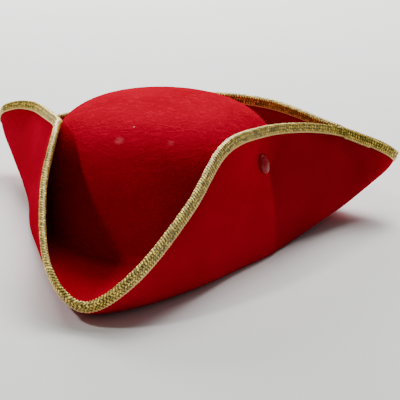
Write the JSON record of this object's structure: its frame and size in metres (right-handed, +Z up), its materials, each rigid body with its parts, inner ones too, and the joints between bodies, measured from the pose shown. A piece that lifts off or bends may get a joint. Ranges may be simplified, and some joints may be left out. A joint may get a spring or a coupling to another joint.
{
  "type": "tricorn hat",
  "caption": "Felt tricorn hat with a rounded crown, a brim turned up on three sides and a woven gold braid folded over its edge",
  "frame": {"origin": "the middle of the bounding box in plan, on the surface that the hat rests on", "axes": "+Z up through the crown, -Y towards the front corner, +X to the wearer's left, which is the picture's right"},
  "size_m": [0.3324, 0.3362, 0.097],
  "materials": {
    "red_felt": "matt felt with a fine crinkled nap",
    "gold_braid": "woven metallic yarn with corded borders",
    "clear_rivet": "clear, glossy"
  },
  "bodies": {
    "root": {"felt_body": "red_felt", "edge_braid": "gold_braid", "rivet_right": "clear_rivet"}
  },
  "joints": []
}
